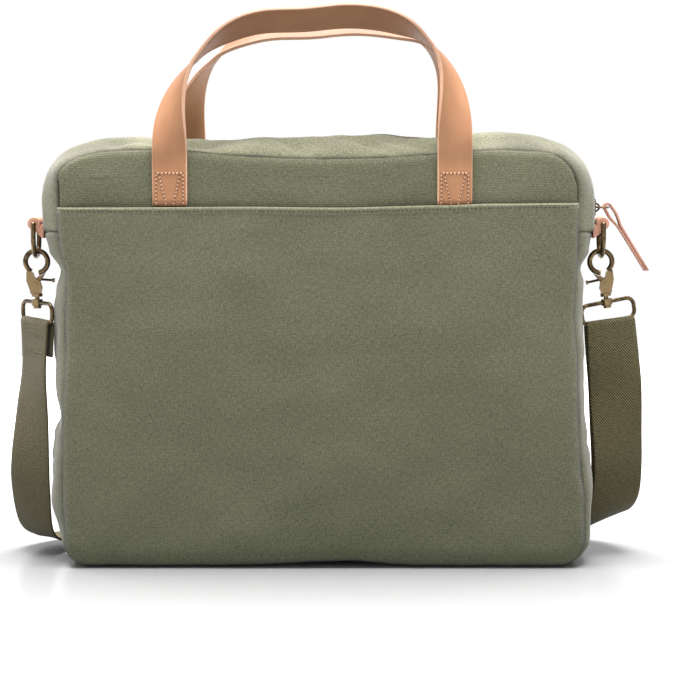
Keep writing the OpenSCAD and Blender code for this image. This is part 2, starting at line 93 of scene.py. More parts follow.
class Mat:
    """A node material with short calls."""

    def __init__(self, name):
        self.mat = bpy.data.materials.new(name)
        self.mat.use_nodes = True
        self.tree = self.mat.node_tree
        self.bsdf = self.tree.nodes["Principled BSDF"]
        self.uv = self.add("ShaderNodeUVMap").outputs[0]
        self.where = self.add("ShaderNodeTexCoord").outputs["Object"]

    def add(self, kind, inputs=(), **settings):
        node = self.tree.nodes.new(kind)
        for key, value in settings.items():
            setattr(node, key, value)
        self.fill(node, dict(inputs))
        return node

    def fill(self, node, inputs):
        """Link sockets to inputs, and set others to a number, a colour (tuple) or a vector (list)."""
        for key, value in inputs.items():
            if isinstance(value, bpy.types.NodeSocket):
                self.tree.links.new(value, node.inputs[key])
            else:
                node.inputs[key].default_value = (*value, 1) if isinstance(value, tuple) else value

    def math(self, operation, a, b):
        return self.add("ShaderNodeMath", {0: a, 1: b}, operation=operation).outputs[0]

    def times(self, a, b):
        return self.math("MULTIPLY", a, b)

    def plus(self, a, b):
        return self.math("ADD", a, b)

    def mapped(self, scale=(1, 1, 1), rotation=0.0):
        inputs = {0: self.uv, "Scale": list(scale), "Rotation": [0, 0, rotation]}
        return self.add("ShaderNodeMapping", inputs).outputs[0]

    def noise(self, scale, vector, detail=3.0, rough=0.55):
        inputs = {"Scale": scale, "Vector": vector, "Detail": detail, "Roughness": rough}
        return self.add("ShaderNodeTexNoise", inputs).outputs[0]

    def wave(self, scale, vector, direction):
        inputs = {"Scale": scale, "Vector": vector}
        return self.add("ShaderNodeTexWave", inputs, bands_direction=direction).outputs[1]

    def ramp(self, factor, stops):
        node = self.add("ShaderNodeValToRGB", {0: factor})
        elements = node.color_ramp.elements
        while len(elements) < len(stops):
            elements.new(0.5)
        for element, (position, colour) in zip(elements, stops):
            element.position = position
            element.color = (*colour, 1)
        return node.outputs[0]

    def mix(self, factor, a, b, blend="MIX"):
        inputs = {0: factor, 6: a, 7: b}
        return self.add("ShaderNodeMix", inputs, data_type="RGBA", blend_type=blend).outputs[2]

    def bump(self, height, strength, distance, **normal):
        inputs = {"Strength": strength, "Distance": distance, "Height": height, **normal}
        return self.add("ShaderNodeBump", inputs).outputs[0]

    def shaded(self, colour):
        """The colour times the mesh's shade attribute: painted shade in seams and folds, and painted light
        where the attribute is above 1.
        """
        node = self.add("ShaderNodeAttribute", attribute_name="shade")
        return self.mix(1.0, colour, node.outputs["Color"], "MULTIPLY")

    def set(self, **inputs):
        names = {"color": "Base Color", "rough": "Roughness", "metal": "Metallic", "normal": "Normal",
                 "sheen": "Sheen Weight", "sheen_rough": "Sheen Roughness",
                 "spec": "Specular IOR Level", "coat": "Coat Weight", "coat_rough": "Coat Roughness"}
        self.fill(self.bsdf, {names[key]: value for key, value in inputs.items()})
        return self.mat


def pale(colour, k):
    return tuple(min(1.0, c * k) for c in colour)


def canvas_material(name, colour):
    """Plain weave: two crossed sets of uneven yarns, pale slubs, a soft sheen. UVs are in metres."""
    m = Mat(name)
    uv = m.mapped()
    warp = m.noise(560, m.mapped((2.0, 0.5, 1)), 3.0, 0.75)
    weft = m.noise(560, m.mapped((0.5, 2.0, 1)), 3.0, 0.75)
    yarns = m.plus(m.times(warp, 0.5), m.times(weft, 0.5))
    fleck = m.noise(1100, uv, 2.0, 0.7)
    blotch = m.noise(11, uv, 3.0, 0.5)
    tone = m.plus(m.times(yarns, 0.56), m.times(fleck, 0.36))
    tone = m.plus(tone, m.times(blotch, 0.08))
    dark, light = pale(colour, 0.244), pale(colour, 1.828)
    body = m.ramp(tone, [(0.34, dark), (0.5, colour), (0.67, light)])
    warp_bands = m.wave(190, m.mapped(), "X")
    weft_bands = m.wave(190, m.mapped(), "Y")
    weave = m.times(m.plus(warp_bands, weft_bands), 0.5)
    height = m.plus(m.times(weave, 0.5), m.times(yarns, 0.9))
    normal = m.bump(height, 0.35, 0.0005)
    return m.set(color=m.shaded(body), rough=0.92, normal=normal, sheen=0.2, sheen_rough=0.5, spec=0.12)


def webbing_material(name, colour):
    """Twill webbing: fine diagonal ribs over faint cross ribs. U runs across the tape, V along it, in metres.
    """
    m = Mat(name)
    ribs = m.wave(210, m.mapped(rotation=radians(38)), "X")
    cross = m.wave(260, m.mapped(), "Y")
    grain = m.noise(500, m.mapped((0.6, 1.6, 1)), 3.0, 0.65)
    tone = m.plus(m.times(ribs, 0.42), m.times(grain, 0.58))
    body = m.ramp(tone, [(0.27, pale(colour, 0.25)), (0.5, colour), (0.7, pale(colour, 2.1))])
    height = m.plus(ribs, m.times(cross, 0.35))
    return m.set(color=m.shaded(body), rough=0.85, normal=m.bump(height, 0.5, 0.0006), sheen=0.1, spec=0.2)


def leather_material(name, colour, dark, rough=0.55, grain=0.25):
    """Smooth tan leather: fine pores, cloudy colour, a soft satin finish."""
    m = Mat(name)
    cloud = m.noise(26, m.where, 4.0, 0.6)
    streak = m.noise(160, m.mapped((1, 0.25, 1)), 3.0, 0.6)
    pores = m.noise(1500, m.where, 2.0, 0.7)
    tone = m.plus(m.times(cloud, 0.7), m.times(streak, 0.3))
    body = m.ramp(tone, [(0.3, dark), (0.55, colour), (0.8, pale(colour, 1.12))])
    body = m.mix(m.times(pores, grain), body, dark)
    normal = m.bump(pores, 0.5 * grain, 0.0003, Normal=m.bump(cloud, 0.2, 0.001))
    return m.set(color=m.shaded(body), rough=rough, normal=normal, coat=0.02, coat_rough=0.4, spec=0.14)


def brass_material(name, dark, bright, wear=1.0):
    """Antique brass: brown patina in the hollows, rubbed bright where it stands out."""
    m = Mat(name)
    geometry = m.add("ShaderNodeNewGeometry")
    patches = m.noise(220, m.where, 4.0, 0.6)
    fine = m.noise(1300, m.where, 3.0, 0.6)
    edge = m.times(m.math("SUBTRACT", geometry.outputs["Pointiness"], 0.5), 6.0 * wear)
    rub = m.plus(m.times(patches, 0.8), edge)
    middle = tuple((a + b) / 2 for a, b in zip(dark, bright))
    body = m.ramp(rub, [(0.3, dark), (0.52, middle), (0.75, bright)])
    rough = m.plus(0.24, m.times(fine, 0.22))
    return m.set(color=body, rough=rough, metal=1.0, normal=m.bump(fine, 0.08, 0.0002))


def plain_cloth(name, colour, scale=700):
    """Dark woven stuff for linings, zip tape and the soft parts inside."""
    m = Mat(name)
    grain = m.noise(scale, m.where, 3.0, 0.65)
    body = m.ramp(grain, [(0.3, pale(colour, 0.7)), (0.7, pale(colour, 1.3))])
    return m.set(color=body, rough=0.9, normal=m.bump(grain, 0.3, 0.0004), spec=0.2)


def coil_material(name, colour):
    m = Mat(name)
    grain = m.noise(900, m.where, 2.0, 0.5)
    body = m.ramp(grain, [(0.3, pale(colour, 0.75)), (0.7, pale(colour, 1.25))])
    return m.set(color=body, rough=0.38, spec=0.5)


OLIVE = (0.0905, 0.0945, 0.058)
M = {
    "canvas": canvas_material("olive_canvas", OLIVE),
    # The hem's copy of the canvas is 10% paler: a painted highlight along the pocket's lip.
    "canvas_lit_hem": canvas_material("olive_canvas_hem", pale(OLIVE, 1.1)),
    "webbing": webbing_material("olive_webbing", (0.056, 0.049, 0.0215)),
    "leather": leather_material("tan_leather", (0.325, 0.168, 0.086), (0.262, 0.127, 0.064)),
    "leather_edge": leather_material("leather_cut_edge", (0.52, 0.32, 0.21), (0.42, 0.25, 0.16), 0.6),
    "rose": leather_material("rose_leather", (0.47, 0.25, 0.175), (0.36, 0.18, 0.12), 0.6, 0.05),
    "rose_edge": leather_material("rose_cut_edge", (0.33, 0.16, 0.10), (0.26, 0.12, 0.075), 0.6, 0.05),
    "brass": brass_material("antique_brass", (0.035, 0.024, 0.012), (0.2, 0.145, 0.075)),
    "dark_brass": brass_material("dark_brass", (0.03, 0.021, 0.013), (0.15, 0.108, 0.06), 0.7),
    "lining": plain_cloth("dark_lining", (0.07, 0.07, 0.062)),
    "tape": plain_cloth("zip_tape", (0.085, 0.062, 0.045), 900),
    "coil": coil_material("zip_coil", (0.10, 0.066, 0.042)),
    "board": plain_cloth("base_sheet", (0.03, 0.03, 0.03), 400),
    "thread": plain_cloth("olive_thread", pale(OLIVE, 0.42), 2500),
    "pale_thread": plain_cloth("tan_thread", (0.5, 0.33, 0.22), 2500),
    # Dark marks of painted shade in the stitch holes.
    "hole": plain_cloth("stitch_hole_shade", (0.16, 0.075, 0.04), 2500),
    "strap_thread": plain_cloth("strap_thread", (0.13, 0.12, 0.075), 2500),
    "steel": brass_material("spring_steel", (0.3, 0.3, 0.3), (0.6, 0.6, 0.6)),
}


# ---- mesh helpers: all places in millimetres, turned into metres when a mesh is made ----


def add_object(name, data):
    obj = bpy.data.objects.new(name, data)
    bpy.context.scene.collection.objects.link(obj)
    return obj


def place(obj, body, slot, *replaced):
    """A piece that rides on one body and takes the place of the named CAD nodes."""
    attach(obj, body)
    if replaced:
        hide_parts(*replaced)


def piece(name, verts, faces, mats, uvs=None, face_mats=None, smooth=True, shade=None):
    mesh = bpy.data.meshes.new(name)
    mesh.from_pydata([tuple(c * MM for c in v) for v in verts], [], faces)
    layer = mesh.attributes.new(name="shade", type="FLOAT_COLOR", domain="POINT")
    for k, dot in enumerate(layer.data):
        v = shade[k] if shade else 1.0
        dot.color = (v, v, v, 1.0)
    for m in mats:
        mesh.materials.append(M[m])
    if uvs is not None:
        layer = mesh.uv_layers.new(name="UVMap")
        for loop in mesh.loops:
            u, v = uvs[loop.vertex_index]
            layer.data[loop.index].uv = (u * MM, v * MM)
    if face_mats is not None:
        mesh.polygons.foreach_set("material_index", face_mats)
    mesh.polygons.foreach_set("use_smooth", [smooth] * len(mesh.polygons))
    tidy = bmesh.new()
    tidy.from_mesh(mesh)
    bmesh.ops.recalc_face_normals(tidy, faces=tidy.faces)
    tidy.to_mesh(mesh)
    tidy.free()
    mesh.update()
    return add_object(name, mesh)


def cloth(name, cells):
    """A canvas sheet from rows of cells: place, UV, shade and the offset to its inner face."""
    rows, cols = len(cells), len(cells[0])
    flat = [cell for row in cells for cell in row]
    verts = [p for p, *_ in flat]
    verts += [tuple(a + b for a, b in zip(p, offset)) for p, _, _, offset in flat]
    n = rows * cols
    faces, kinds = [], []
    for i in range(rows - 1):
        for a in range(i * cols, i * cols + cols - 1):
            b, c, d = a + 1, a + cols + 1, a + cols
            faces += [(a, b, c, d), (a + n, d + n, c + n, b + n)]
            kinds += [0, 1]
    rim = list(range(cols)) + [i * cols + cols - 1 for i in range(1, rows)]
    rim += [(rows - 1) * cols + j for j in range(cols - 2, -1, -1)]
    rim += [i * cols for i in range(rows - 2, 0, -1)]
    for a, b in zip(rim, rim[1:] + rim[:1]):
        faces.append((b, a, a + n, b + n))
        kinds.append(0)
    uvs, tones = [cell[1] for cell in flat] * 2, [cell[2] for cell in flat] * 2
    return piece(name, verts, faces, ["canvas", "lining"], uvs, kinds, shade=tones)


def smooth_step(t):
    t = max(0.0, min(1.0, t))
    return t * t * (3 - 2 * t)


def bell(x, width):
    return exp(-(x / width) ** 2)


def noise_at(x, y, z):
    return noise.noise(Vector((x, y, z)))


def soft_noise(x, y, scale, seed):
    return noise_at(x / scale, y / scale, seed)


def rounded_box(x0, x1, y0, y1, r, step):
    """Points round a box with round corners, counter-clockwise, every so many degrees in a corner."""
    left, right, low, high = x0 + r, x1 - r, y0 + r, y1 - r
    return [(x + r * cos(radians(start + a)), y + r * sin(radians(start + a)))
            for x, y, start in ((right, high, 0), (left, high, 90), (left, low, 180), (right, low, 270))
            for a in range(0, 91, step)]


def table(points, x):
    """Smooth value at x from a short list of (x, value), with x rising."""
    if x <= points[0][0]:
        return points[0][1]
    for (x0, v0), (x1, v1) in zip(points, points[1:]):
        if x <= x1:
            return v0 + (v1 - v0) * smooth_step((x - x0) / (x1 - x0))
    return points[-1][1]


# ---- cloth panels ----


# Width and height of the panels' top corners: the left one is flatter
TOP_CORNER = {-1: (41.0, 20.0), 1: (28.0, 28.0)}


def half_width(z, side):
    """Half width of a panel's sewn outline at height z."""
    a, b = TOP_CORNER[side]
    if z > PANEL_TOP - b:
        return PANEL_W - a + a * sqrt(max(0.0, 1 - ((z - PANEL_TOP + b) / b) ** 2))
    if z < BASE_Z + BASE_R:
        return PANEL_W - BASE_R + sqrt(max(0.0, BASE_R ** 2 - (BASE_Z + BASE_R - z) ** 2))
    return PANEL_W


def row_heights(z1, lines=(), pitch=5.0):
    """Heights of a panel's rows up to z1: close together in the rounded corners."""
    rows = set()
    for k in range(16):
        a = radians(6 * k)
        rows |= {round(PANEL_TOP - b + b * sin(a), 2) for _, b in TOP_CORNER.values()}
        rows.add(round(BASE_Z + BASE_R - BASE_R * sin(a), 2))
    z = BASE_Z + BASE_R
    while z < PANEL_TOP - TOP_CORNER[1][1]:
        rows.add(round(z, 2))
        z += pitch
    rows = {z for z in rows if BASE_Z + 4.0 < z < z1 - 4.0 and all(abs(z - line) > 2.6 for line in lines)}
    rows |= {line + d for line in lines for d in (-2.2, -1.2, -0.6, 0.0, 0.6, 1.2, 2.2)}
    rows |= {z for d in (0.5, 1.0, 1.7, 2.8) for z in (BASE_Z + d, z1 - d)}
    return [BASE_Z] + sorted(z for z in rows if BASE_Z < z < z1) + [z1]


# How far the front seams stray from straight, by height: the case is a little slumped to the right
LEFT_STRAY = [(0, 2.0), (60, 1.6), (110, 1.6), (135, 3.2), (160, 5.2), (210, 5.6), (240, 1.3), (262, 0)]
RIGHT_STRAY = [(0, 5.5), (20, 6.6), (48, 6.4), (72, 3.4), (110, 1.4), (140, 0.7), (185, -2.6),
               (225, -0.8), (262, 0)]


def stray(x, z):
    t = max(0.0, min(1.0, (x / PANEL_W + 1) / 2))
    return table(LEFT_STRAY, z) * (1 - t) + table(RIGHT_STRAY, z) * t


def seam_distance(x, z):
    """Distance inward from a panel's sewn outline."""
    a, b = TOP_CORNER[1 if x > 0 else -1]
    if z > PANEL_TOP - b and abs(x) > PANEL_W - a:
        dx, dz = (abs(x) - PANEL_W + a) / a, (z - PANEL_TOP + b) / b
        q = hypot(dx, dz)
        return max(0.0, (1 - q) * (a * dx * dx + b * dz * dz) / (q * q + 1e-9))
    if z < BASE_Z + BASE_R and abs(x) > PANEL_W - BASE_R:
        return max(0.0, BASE_R - hypot(abs(x) - PANEL_W + BASE_R, BASE_Z + BASE_R - z))
    return max(0.0, min(PANEL_W - abs(x), PANEL_TOP - z, z - BASE_Z))


def seam_shade(d, depth=0.74, width=1.15, soft=0.12):
    """Painted shade beside a seam: a thin dark line for the shade in its groove and a soft wider painted
    shadow.
    """
    return 1 - depth * bell(d, width) - soft * exp(-d / 4.0)


def edge_columns(count=72):
    """Places across a panel from -1 to 1, crowded towards the seams."""
    inner = [-1 + 2 * i / count for i in range(count + 1)]
    extra = [1 - 0.045 * (0.68 ** k) for k in range(9)]
    return sorted({round(v, 5) for v in inner + extra + [-e for e in extra]})


def pucker(s, depth, seed, wavelength=17.0):
    """Small gathers along a seam: s along it, depth away from it."""
    wave = noise_at(s / wavelength, seed, 0.3)
    wave += 0.6 * noise_at(s / (wavelength * 0.45), seed, 4.0)
    return wave * exp(-depth / 9.0) * (1 - exp(-depth / 1.6))


def base_arch(x):
    """The case stands on its two ends, and its base rises a little between them."""
    rise = table([(-80, 0.2), (-50, 0.7), (-28, 1.6), (-6, 3.0), (22, 3.8), (38, 2.4), (52, 1.0), (68, 0)], x)
    return rise + 0.5 * max(0.0, noise_at(x / 16.0, 2.0, 9.0))


def top_sag(x):
    """The upper seams dip a little between the handles."""
    dip = 6.2 * max(0.0, 1 - ((x - 6.0) / 118.0) ** 2) ** 1.3
    return dip - 1.5 * smooth_step((168 - abs(x)) / 40.0)


def hem_dip(x):
    """The pocket's edge sinks a little towards the left."""
    return table([(-187, -3.2), (-50, -2.6), (13, -3.2), (87, -1.6), (126, -0.4), (187, 0)], x)


def cloth_lumps(x, z, seed):
    """Broad, middling and small unevenness of a padded panel."""
    lumps = 1.3 * soft_noise(x, z, 95.0, seed) + 0.75 * soft_noise(x, z * 1.4, 38.0, seed + 3)
    return lumps + 0.32 * soft_noise(x * 1.2, z, 15.0, seed + 6)


def panel(name, z1, face_y, side, puff, seed, thickness=1.6, lines=(), roll_by=2.6, roll_over=2.0,
          strays=False):
    """A panel from the base up to z1. side is -1 at the front and 1 at the back; lines are sewn in."""
    cells = []
    for z in row_heights(z1, [line for line, _ in lines]):
        row = []
        for u in edge_columns():
            x = u * half_width(z, 1 if u > 0 else -1)
            edge = seam_distance(x, z)
            roll = roll_by * exp(-edge / roll_over)
            crown = puff * (1 - exp(-edge / 38.0))
            lumps = cloth_lumps(x, z, seed) * (1 - exp(-edge / 16.0))
            gather = (0.9 - 0.6 * smooth_step((z - 240) / 15)) * pucker(x + z * 1.3, edge, seed + 1)
            y = face_y + side * (crown + lumps + gather - roll)
            # tone is painted shade: darker beside the seams and along each sewn line.
            tone = seam_shade(edge)
            for seam_z, seam_depth in lines:
                y -= side * seam_depth * bell(z - seam_z, 0.9)
                tone *= 1 - 0.35 * bell(z - seam_z, 0.8)
            lift = base_arch(x) * exp(-(z - BASE_Z) / 60.0) if z < 160 else 0.0
            if z1 > LID_Z + 5:
                sag = top_sag(x) * smooth_step((z - 225) / (PANEL_TOP - 225))
            else:
                sag = -hem_dip(x) * smooth_step((z - z1 + 50) / 42)
            across = x + (stray(x, z) if strays else 0.0)
            row.append(((across, y, z + lift - sag), (x, z), tone, (0, -side * thickness, 0)))
        cells.append(row)
    return cloth(name, cells)


front = panel("front_cloth", PANEL_TOP, FRONT_Y + 0.6, -1, 0.9, 11.0, strays=True)
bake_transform(front)
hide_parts("front_panel", "front_upper_panel")
back = panel("back_cloth", PANEL_TOP, BACK_Y, 1, 3.2, 23.0)
place(back, "root", "canvas", "back_panel")
pocket = panel("pocket_cloth", HEM_TOP - 0.8, POCKET_FACE, -1, 1.6, POCKET_SEED, thickness=1.7,
               lines=((HEM_LINE, 0.4),), roll_by=6.4, roll_over=3.6, strays=True)
place(pocket, "root", "canvas", "pocket_panel")


def closed_strip(name, rows, uvs, mats, kinds=None, shade=None):
    """A tube of cloth from rings of points, with flat ends."""
    n, k = len(rows), len(rows[0])
    verts = [p for row in rows for p in row]
    uv = [q for row in uvs for q in row]
    faces, face_mats = [], []
    for i in range(n - 1):
        for j in range(k):
            a, b = i * k + j, i * k + (j + 1) % k
            faces.append((a, b, b + k, a + k))
            face_mats.append(kinds[j] if kinds else 0)
    faces += [tuple(range(k))[::-1], tuple(range((n - 1) * k, n * k))]
    face_mats += [kinds[0] if kinds else 0] * 2
    tones = [v for row in shade for v in row] if shade else None
    return piece(name, verts, faces, mats, uv, face_mats, shade=tones)


def rounded_section(w, t, r, across=4):
    """Points round a flat band's section, as (across, through), counter-clockwise."""
    pts = rounded_box(-w / 2, w / 2, -t / 2, t / 2, r, 30)
    out = []
    for i, p in enumerate(pts):
        out.append(p)
        if i % 4 == 3:
            q = pts[(i + 1) % len(pts)]
            steps = across if abs(q[0] - p[0]) > abs(q[1] - p[1]) else 1
            out += [tuple(a + (b - a) * k / steps for a, b in zip(p, q)) for k in range(1, steps)]
    return out


def pocket_face(x, z):
    """Y of the pocket's outer face at a place near its edge."""
    edge = PANEL_W - abs(x)
    lumps = cloth_lumps(x, z, POCKET_SEED) * (1 - exp(-edge / 16.0))
    gather = 0.9 * pucker(x + z * 1.3, edge, POCKET_SEED + 1)
    crown = 1.6 * (1 - exp(-edge / 38.0))
    return POCKET_FACE - crown - lumps - gather + 6.4 * exp(-edge / 3.6)


def pocket_hem():
    """The pocket's edge: cloth folded to the inside round a soft lip."""
    rows, uvs = [], []
    section = rounded_section(6.0, 3.2, 1.5, 4)
    for u in edge_columns(110):
        x = u * (PANEL_W - 0.2)
        y = pocket_face(x, HEM_LINE) + 0.12 + 1.6
        rows.append([(x, y - q, HEM_TOP - 2.8 + hem_dip(x) + p) for p, q in section])
        uvs.append([(x, p + 1.7 * q) for p, q in section])
    # The hem uses the paler copy of the canvas: painted highlight on the lip.
    return closed_strip("pocket_hem_fold", rows, uvs, ["canvas_lit_hem"])


place(pocket_hem(), "root", "canvas", "pocket_hem")


# ---- gussets ----

LEFT_BULGE = [(4, 2), (17, 5), (48, 11.5), (75, 10.5), (95, 8), (108, 3), (127, 6.5), (153, 7),
              (184, 8.5), (200, 5.5), (215, 1.5), (230, 10.5), (SEAM_Z, BULGE)]
RIGHT_BULGE = [(4, 10), (17, 13.5), (37, 14.5), (58, 15.5), (78, 13.5), (92, 11), (112, 9),
               (156, 8.5), (206, 7), (217, 3.6), (230, 11), (SEAM_Z, BULGE)]


def side_path(side, bulges):
    """From a side's upper seam down to the end of its bottom corner: place, outward direction, bulge."""
    low = BASE_Z + BASE_R
    heights = [SEAM_Z - d for d in (0, *SEAM_ROWS)]
    heights += [SEAM_Z - k * 4.0 for k in range(1, int((SEAM_Z - low - 1) / 4.0) + 1)] + [low]
    out = [(side * PANEL_W, z, side, 0, table(bulges, z)) for z in heights]
    for k in range(1, 12):
        a = radians(90 * k / 12)
        z = low - BASE_R * sin(a)
        x = side * (PANEL_W - BASE_R + BASE_R * cos(a))
        bulge = BASE_Z + (table(bulges, z) - BASE_Z) * cos(a)
        out.append((x, z, side * cos(a), -sin(a), bulge))
    return out


def lower_path():
    """From the left seam down, under and up to the right seam."""
    half = PANEL_W - BASE_R
    under = [(-half + 2 * half * k / 60, BASE_Z, 0, -1, BASE_Z) for k in range(61)]
    return side_path(-1, LEFT_BULGE) + under + side_path(1, RIGHT_BULGE)[::-1]


def gusset_ys():
    """Places across a gusset, crowded at its seams."""
    near = [0.0, 0.4, 0.8, 1.3, 2.0, 3.0, 4.5, 6.5, 9.0, 12.0, 15.5, 19.5, 24.0]
    return sorted({round(s * (HALF_D - d), 3) for d in near for s in (-1, 1)} | {0.0})


def path_lengths(points):
    """Distance along a path at each of its points."""
    out = [0.0]
    for a, b in zip(points, points[1:]):
        out.append(out[-1] + dist(a, b))
    return out


def fold(s, y, seed, length=34.0):
    """Thin valleys and soft ridges running across a slack piece of cloth."""
    n = noise_at(s / length + y / 55.0, y / 48.0, seed)
    m = noise_at(s / (length * 1.7) - y / 70.0, y / 60.0, seed + 20)
    return 1.6 * n - 1.5 * max(0.0, 1 - abs(m) * 7.0) ** 1.5


def lower_gusset():
    path = lower_path()
    cells = []
    for (x, z, nx, nz, bulge), s in zip(path, path_lengths([p[:2] for p in path])):
        row = []
        for y in gusset_ys():
            edge = HALF_D - abs(y)
            inside = 1 - exp(-edge / 7.0)
            out = bulge * (1 - (y / HALF_D) ** 2) ** 0.8
            out += 0.8 * (fold(s, y, 51.0) + soft_noise(s, y, 22.0, 54.0)) * inside * abs(nx) ** 0.5
            out += 0.8 * pucker(s, edge, 57.0 + copysign(2, y)) * abs(nx) ** 0.5
            out -= 2.0 * exp(-edge / 1.6)
            out -= 1.1 * bell(z - SEAM_Z, 1.1) * inside
            if nz < -0.9:
                out = min(out, BASE_Z)
            lift = base_arch(x) * abs(nz)
            shift = stray(x, z) * max(0.0, -y / HALF_D) ** 1.6
            # Painted shade beside the seams and along the upper seam.
            tone = seam_shade(edge) * (1 - 0.6 * bell(z - SEAM_Z, 0.8))
            row.append(((x + nx * out + shift, y, max(0.0, z + nz * out + lift)), (s, y + 100), tone,
                        (-nx * 1.8, 0, -nz * 1.8)))
        cells.append(row)
    return cloth("lower_gusset_cloth", cells)


place(lower_gusset(), "root", "canvas", "lower_gusset")


def crest_path(z0, step=4.0):
    """Over the top from one side to the other: points on the corner circles' centre line, direction out."""
    sides = [z0 + d for d in (0, *SEAM_ROWS)]
    z = z0 + step
    while z < ARC_Z - 0.5:
        sides.append(z)
        z += step
    turn = [radians(5 * k) for k in range(19)]
    n = int(2 * ARC_X / step)
    out = [(-ARC_X, z, -1.0, 0.0) for z in sides]
    out += [(-ARC_X, ARC_Z, -cos(a), sin(a)) for a in turn]
    out += [(-ARC_X + 2 * ARC_X * k / n, ARC_Z, 0.0, 1.0) for k in range(1, n)]
    out += [(ARC_X, ARC_Z, cos(a), sin(a)) for a in turn[::-1]]
    return out + [(ARC_X, z, 1.0, 0.0) for z in sides[::-1]]


CREST_DIPS = [(-190, -2), (-166, -5.3), (-142, -5.5), (-93, -7.2), (-67, -6.9), (-40, -4.8),
              (8, -3.2), (30, -2.4), (48, -0.9), (69, -3.1), (86, -4.8), (113, -1.8), (137, -1.4),
              (155, -2.6), (168, -3.3), (182, -1.4), (192, 0)]


def crest_wave(x, nx, nz):
    """The zip's line rises and falls a little along the top."""
    along_x = x + nx * CORNER_R
    ripple = 0.4 * noise_at(along_x / 23.0, 5.5, 41.0)
    return (table(CREST_DIPS, along_x) + ripple) * smooth_step(nz * 1.4)


def seam_radius(nx, nz):
    """Distance from a corner circle's centre to the panel's sewn outline."""
    if nz <= 0.0 or nz >= 1.0:
        return SEAM_R
    a, b = TOP_CORNER[1 if nx > 0 else -1]
    kx, kz, cx, cz = SEAM_R - a, SEAM_R - b, abs(nx), nz
    p = (cx / a) ** 2 + (cz / b) ** 2
    q = cx * kx / a ** 2 + cz * kz / b ** 2
    t = (q + sqrt(max(0.0, q * q - p * ((kx / a) ** 2 + (kz / b) ** 2 - 1)))) / p
    return SEAM_R / cx if t * cz < kz else SEAM_R / cz if t * cx < kx else t


def dome(y):
    return CORNER_R - DOME_R + sqrt(DOME_R ** 2 - y * y)


def zip_gusset(name, side, seed):
    """One half of the domed top, from its folded edge beside the zip to the panel's seam."""
    path = crest_path(SEAM_Z)
    lengths = path_lengths([(x + nx * CORNER_R, z + nz * CORNER_R) for x, z, nx, nz in path])
    ys = [ZIP_GAP + d for d in (-0.4, 0, 0.5, 1.5)]
    ys += [6.3, 7.0, 7.7, 9.5, 12, 15, 18, 21, 24, 26.5, 28.5] + [HALF_D - d for d in (2.2, 1.5, 0.9, 0.5, 0)]
    cells = []
    for (x, z, nx, nz), s in zip(path, lengths):
        row = []
        up = max(0.0, nz)
        for y in ys:
            edge, share = HALF_D - y, y / HALF_D
            slack = smooth_step((y - 8) / 8) * (1 - exp(-edge / 5.0)) * (0.45 + 0.75 * up)
            unevenness = soft_noise(s, y * 1.3, 27.0, seed + 2)
            r = dome(y) + (seam_radius(nx, nz) - SEAM_R) * smooth_step(share)
            r += slack * (1.7 * fold(s, y * 1.2, seed) + 2.2 * unevenness)
            r += (0.85 - 0.6 * up) * pucker(s, edge, seed + 5)
            hollow = (2.4 if side < 0 else 0.7) * bell(x + nx * r - 66, 22.0)
            r -= hollow * up * (1 - share ** 2)
            r += 1.7 * bell(y - 12.0, 5.5)
            r -= 2.1 * exp(-edge / 1.5)
            r -= 0.5 * bell(y - 7.0, 0.7)
            r -= 1.1 * bell(z + nz * r - SEAM_Z, 1.1) if nz == 0.0 else 0.0
            r -= 1.3 if y < ZIP_GAP - 0.1 else 0.35 if y < ZIP_GAP + 0.2 else 0.0
            r += 0.35 * pucker(s, max(0.0, y - ZIP_GAP), seed + 8, 12.0)
            xx = x + nx * r
            sag = top_sag(xx) * share ** 1.6 * nz if nz > 0.98 else 0.0
            wave = crest_wave(x, nx, nz) * (1 - share ** 1.6)
            shift = stray(xx, z + nz * r) * share ** 2 if side < 0 and nz < 0.5 else 0.0
            # tone is painted shade beside the seams, along the small fold by the zip and under the folded
            # edge.
            tone = seam_shade(edge) * (1 - 0.3 * bell(y - 7.0, 0.6))
            tone *= 0.7 if y < ZIP_GAP else 1.0
            if nz == 0.0:
                tone *= 1 - 0.6 * bell(z - SEAM_Z, 0.8)
            # Painted light and shade on the upward faces: following the wrinkles, lighter over the middle and
            # darker towards the corners.
            tone *= 1 + 0.3 * unevenness * up
            tone *= 1.12 - 0.5 * smooth_step((abs(xx) - 105) / 40.0) * up
            row.append(((xx + shift, side * y, z + nz * r - sag + wave), (s, y * 1.05 + 300), tone,
                        (-nx * 1.4, 0, -nz * 1.4)))
        cells.append(row)
    return cloth(name, cells)


place(zip_gusset("rear_top_cloth", 1, 61.0), "root", "canvas", "rear_zip_gusset")
top_front = zip_gusset("front_top_cloth", -1, 71.0)
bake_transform(top_front)
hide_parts("front_zip_gusset", "gusset_ends")


# ---- zip ----


def at_radius(entry, r):
    x, z, nx, nz = entry
    return x + nx * r, z + nz * r + crest_wave(x, nx, nz)


def zip_tape(name, side, r=48.7):
    """Woven tape under the canvas's folded edge, on one side of the teeth."""
    rows, uvs = [], []
    for i, e in enumerate(crest_path(SEAM_Z + 1)):
        row = []
        for y, q in ((0.2, 0), (5.4, 0), (5.4, -0.7), (0.2, -0.7)):
            x, z = at_radius(e, r + q)
            row.append((x, side * y, z))
        rows.append(row)
        uvs.append([(i * 4, y) for y in (0.2, 5.4, 6.1, 0.9)])
    return closed_strip(name, rows, uvs, ["tape"])


